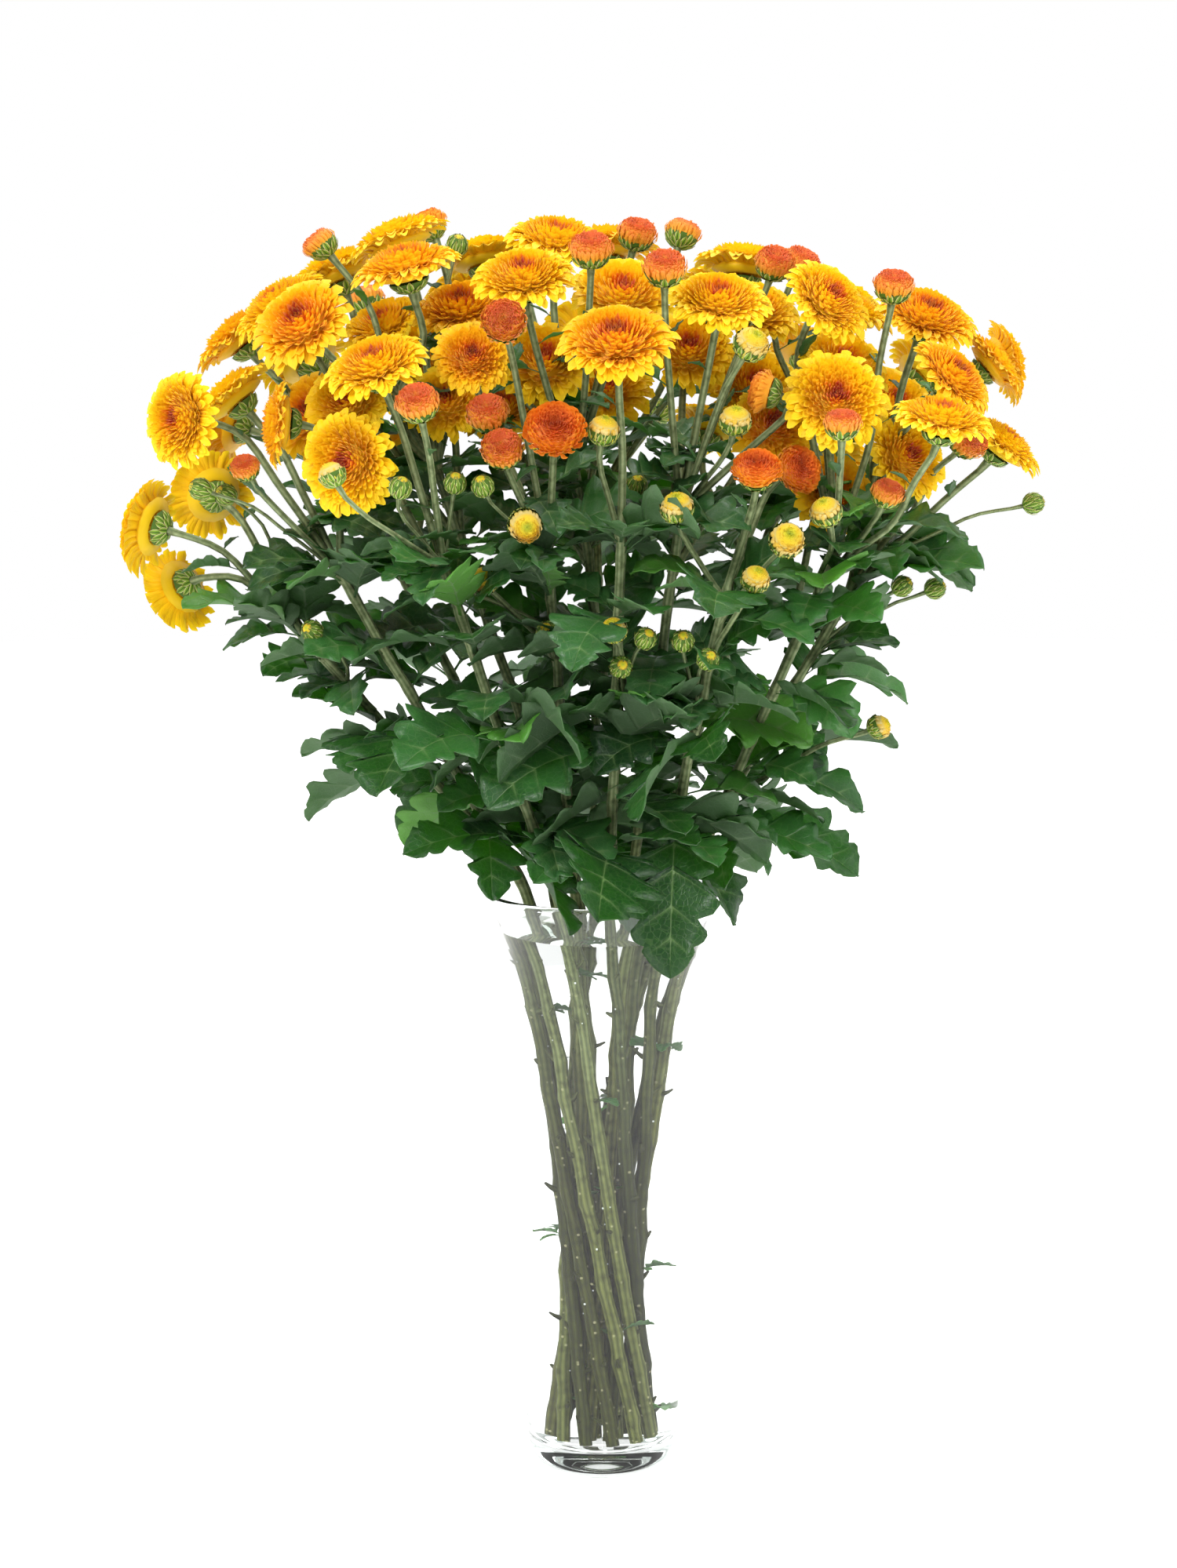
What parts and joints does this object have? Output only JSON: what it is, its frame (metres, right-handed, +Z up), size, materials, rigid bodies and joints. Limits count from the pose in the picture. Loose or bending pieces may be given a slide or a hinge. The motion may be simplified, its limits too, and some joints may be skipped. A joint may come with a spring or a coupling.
{
  "type": "spray chrysanthemums in a glass vase",
  "caption": "Bunch of orange-yellow spray chrysanthemums with blooms, buttons, buds and lobed leaves, standing in water in a tall flared clear glass vase.",
  "frame": {"origin": "centre of the vase's flat foot, on the surface that it stands on", "axes": "+Z up along the vase's axis; the bouquet's front faces -Y, and +X is to the right seen from the front"},
  "size_m": [0.3874, 0.2623, 0.5486],
  "materials": {
    "glass": "gloss",
    "water": "gloss",
    "stem": "matte",
    "petal": "matte",
    "leaf": "satin"
  },
  "bodies": {
    "root": {"bloom_back_1": "petal", "bloom_back_2": "petal", "bloom_back_3": "petal", "bloom_back_4": "petal", "bloom_back_5": "petal", "bloom_back_left_1": "petal", "bloom_back_left_2": "petal", "bloom_back_left_3": "petal", "bloom_back_left_4": "petal", "bloom_back_left_5": "petal", "bloom_back_right_1": "petal", "bloom_back_right_2": "petal", "bloom_back_right_3": "petal", "bloom_back_right_4": "petal", "bloom_crown_left_1": "petal", "bloom_crown_left_2": "petal", "bloom_crown_right_1": "petal", "bloom_crown_right_2": "petal", "bloom_far_left_1": "petal", "bloom_far_left_2": "petal", "bloom_front_centre_1": "petal", "bloom_front_left_1": "petal", "bloom_front_left_2": "petal", "bloom_front_right_1": "petal", "bloom_front_right_2": "petal", "bloom_front_right_3": "petal", "bloom_heart_left_1": "petal", "bloom_heart_right_1": "petal", "bloom_left_1": "petal", "bloom_left_2": "petal", "bloom_left_3": "petal", "bloom_right_1": "petal", "bloom_right_2": "petal", "bloom_right_3": "petal", "bloom_right_4": "petal", "bloom_right_5": "petal", "leaf_back_left": "leaf", "leaf_back_right": "leaf", "leaf_front_broad": "leaf", "leaf_front_hanging": "leaf", "leaf_left_long": "leaf", "leaf_left_low": "leaf", "leaf_right_long": "leaf", "leaf_right_low": "leaf", "stem_back": "stem", "stem_back_left": "stem", "stem_back_right": "stem", "stem_crown_left": "stem", "stem_crown_right": "stem", "stem_far_left": "stem", "stem_front_centre": "stem", "stem_front_left": "stem", "stem_front_right": "stem", "stem_heart_left": "stem", "stem_heart_right": "stem", "stem_left": "stem", "stem_near_right": "stem", "stem_right": "stem", "vase": "glass", "water": "water"}
  },
  "joints": []
}
